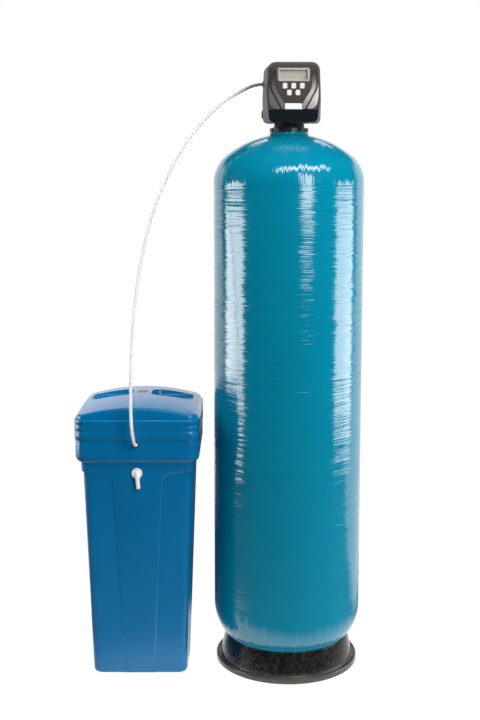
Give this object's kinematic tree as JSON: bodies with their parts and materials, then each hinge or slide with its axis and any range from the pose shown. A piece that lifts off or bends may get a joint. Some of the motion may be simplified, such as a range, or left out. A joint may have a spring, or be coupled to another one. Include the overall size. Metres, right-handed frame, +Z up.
{
  "type": "water softener",
  "caption": "Fibre-wound pressure vessel on a round skirt with a motor-driven control head, and a square salt tank with a lift-off lid joined to it by a thin brine tube.",
  "frame": {"origin": "the pressure vessel's axis at the floor", "axes": "+Z up along the vessel, front of the control head towards -Y, brine tank towards -X"},
  "size_m": [0.896, 0.4805, 1.903],
  "materials": {
    "shell_teal": "gloss lacquer over wound fibre",
    "liner_white": "smooth",
    "skirt_black": "gloss",
    "valve_black": "satin",
    "seal_rubber": "matte",
    "gravel_grey": "granular",
    "resin_amber": "granular",
    "acetal_white": "smooth",
    "motor_steel": "plated",
    "pinion_brass": "machined",
    "board_green": "coated",
    "lcd_grey": "smooth",
    "cover_black": "gloss",
    "trim_grey": "metallic lacquer",
    "keypad_dark": "satin",
    "bezel_silver": "metallised",
    "window_clear": "clear",
    "badge_white": "gloss",
    "key_white": "satin",
    "fitting_white": "smooth",
    "brine_blue": "moulded satin",
    "cap_grey": "moulded",
    "tube_white": "smooth"
  },
  "bodies": {
    "root": {"tank_shell": "shell_teal", "tank_liner": "liner_white", "tank_base": "skirt_black", "neck_collar": "valve_black", "riser_tube": "liner_white", "bottom_distributor": "liner_white", "top_distributor": "valve_black", "gravel_bed": "gravel_grey", "resin_bed": "resin_amber", "valve_body": "valve_black", "valve_orings": "seal_rubber", "spacer_stack": "acetal_white", "stack_seals": "seal_rubber", "drive_cap": "acetal_white", "drive_bracket": "valve_black", "drive_motor": "motor_steel", "gear_cover": "valve_black", "back_plate": "valve_black", "control_board": "board_green", "lcd_module": "lcd_grey", "front_cover": "cover_black", "front_trim": "trim_grey", "keypad_panel": "keypad_dark", "display_bezel": "bezel_silver", "display_window": "window_clear", "badge_plate": "badge_white", "injector_cap": "valve_black", "refill_elbow": "valve_black", "tube_nut": "valve_black", "drain_elbow": "valve_black", "port_nuts": "valve_black", "inlet_fitting": "fitting_white", "outlet_fitting": "fitting_white", "brine_tank": "brine_blue", "overflow_elbow": "fitting_white", "overflow_gasket": "seal_rubber", "overflow_nut": "fitting_white", "tube_grommet": "seal_rubber", "brine_well": "fitting_white", "well_cap": "fitting_white", "brine_valve": "fitting_white", "pickup_tube": "fitting_white", "air_check": "fitting_white", "brine_tube": "tube_white"},
    "lid": {"brine_lid": "brine_blue", "lid_cap": "cap_grey"},
    "key_1": {"button_1": "key_white"},
    "key_2": {"button_2": "key_white"},
    "key_3": {"button_3": "key_white"},
    "key_4": {"button_4": "key_white"},
    "key_5": {"button_5": "key_white"},
    "drive_wheel": {"drive_gear": "acetal_white"},
    "reduction": {"reduction_gear": "acetal_white"},
    "pinion": {"motor_pinion": "pinion_brass"},
    "piston": {"main_piston": "valve_black", "regenerant_piston": "acetal_white"},
    "turbine": {"meter_turbine": "acetal_white"},
    "float": {"brine_float": "fitting_white", "float_rod": "motor_steel"}
  },
  "joints": [
    {"name": "lid_lift", "type": "slide", "parent": "root", "child": "lid", "axis": [0, 0, 1], "range_m": [0, 0.15]},
    {"name": "button_1_press", "type": "slide", "parent": "root", "child": "key_1", "axis": [0, 1, 0], "range_m": [0, 0.0015], "stiffness_N_per_m": 500},
    {"name": "button_2_press", "type": "slide", "parent": "root", "child": "key_2", "axis": [0, 1, 0], "range_m": [0, 0.0015], "stiffness_N_per_m": 500},
    {"name": "button_3_press", "type": "slide", "parent": "root", "child": "key_3", "axis": [0, 1, 0], "range_m": [0, 0.0015], "stiffness_N_per_m": 500},
    {"name": "button_4_press", "type": "slide", "parent": "root", "child": "key_4", "axis": [0, 1, 0], "range_m": [0, 0.0015], "stiffness_N_per_m": 500},
    {"name": "button_5_press", "type": "slide", "parent": "root", "child": "key_5", "axis": [0, 1, 0], "range_m": [0, 0.0015], "stiffness_N_per_m": 500},
    {"name": "drive_gear_turn", "type": "hinge", "parent": "root", "child": "drive_wheel", "pos_m": [0, -0.07, 1.766], "axis": [0, 1, 0], "range_deg": [0, 540]},
    {"name": "reduction_turn", "type": "hinge", "parent": "root", "child": "reduction", "pos_m": [-0.014, -0.068, 1.79253], "axis": [0, 1, 0], "range_deg": [-2160, 0]},
    {"name": "pinion_turn", "type": "hinge", "parent": "root", "child": "pinion", "pos_m": [-0.026, -0.065, 1.81332], "axis": [0, 1, 0], "range_deg": [0, 6480]},
    {"name": "piston_stroke", "type": "slide", "parent": "root", "child": "piston", "axis": [0, 1, 0], "range_m": [0, 0.024]},
    {"name": "turbine_spin", "type": "hinge", "parent": "root", "child": "turbine", "pos_m": [-0.056, 0.051, 1.756], "axis": [0, 1, 0], "continuous": true},
    {"name": "float_rise", "type": "slide", "parent": "root", "child": "float", "axis": [0, 0, 1], "range_m": [0, 0.012]}
  ],
  "couplings": [
    {"joint": "reduction_turn", "follows": "drive_gear_turn", "ratio": -4},
    {"joint": "pinion_turn", "follows": "drive_gear_turn", "ratio": 12},
    {"joint": "piston_stroke", "follows": "drive_gear_turn", "m_per_rad": 0.0025465}
  ]
}
